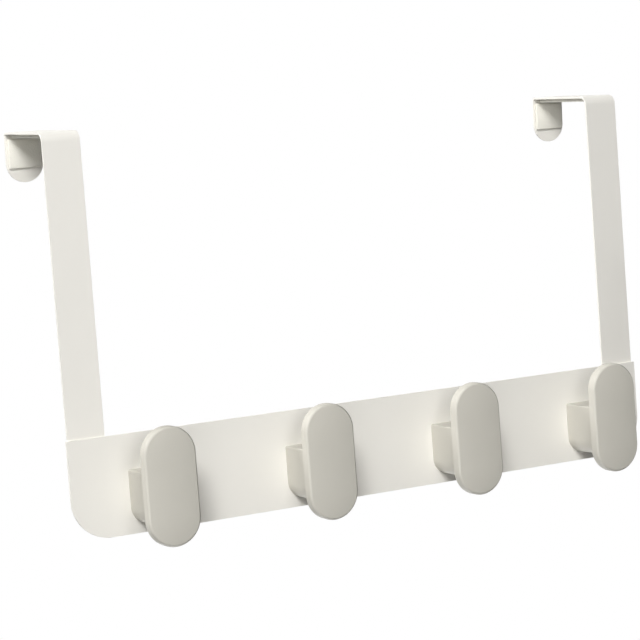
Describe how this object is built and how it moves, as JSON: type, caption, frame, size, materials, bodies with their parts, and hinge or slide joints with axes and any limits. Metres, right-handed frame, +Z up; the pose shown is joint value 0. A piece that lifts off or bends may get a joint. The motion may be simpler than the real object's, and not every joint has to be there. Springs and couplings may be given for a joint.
{
  "type": "over door hook",
  "caption": "Over-door hook rack: a flat steel rail with pill-fronted hooks, carried by straps that fold over a door and end in padded, round-ended lips.",
  "frame": {"origin": "midway between the straps, on the front top edge of the door: the straps' legs lie against the door's front in the plane Y = 0, and the pads under the top plates reach that edge at Z = 0", "axes": "+X along the rail to the right as seen from the front, +Y back through the door, +Z up; the hooks point to -Y"},
  "size_m": [0.312, 0.0809, 0.1872],
  "materials": {
    "paint": "satin cream powder coat on steel",
    "hook": "matte warm grey moulding",
    "pad": "soft off-white foam",
    "screw": "bright zinc plating"
  },
  "bodies": {
    "root": {"rail": "paint", "left_strap": "paint", "right_strap": "paint", "hook_1": "hook", "hook_2": "hook", "hook_3": "hook", "hook_4": "hook", "left_plate_pad": "pad", "left_lip_pad": "pad", "right_plate_pad": "pad", "right_lip_pad": "pad", "hook_screws": "screw"}
  },
  "joints": []
}
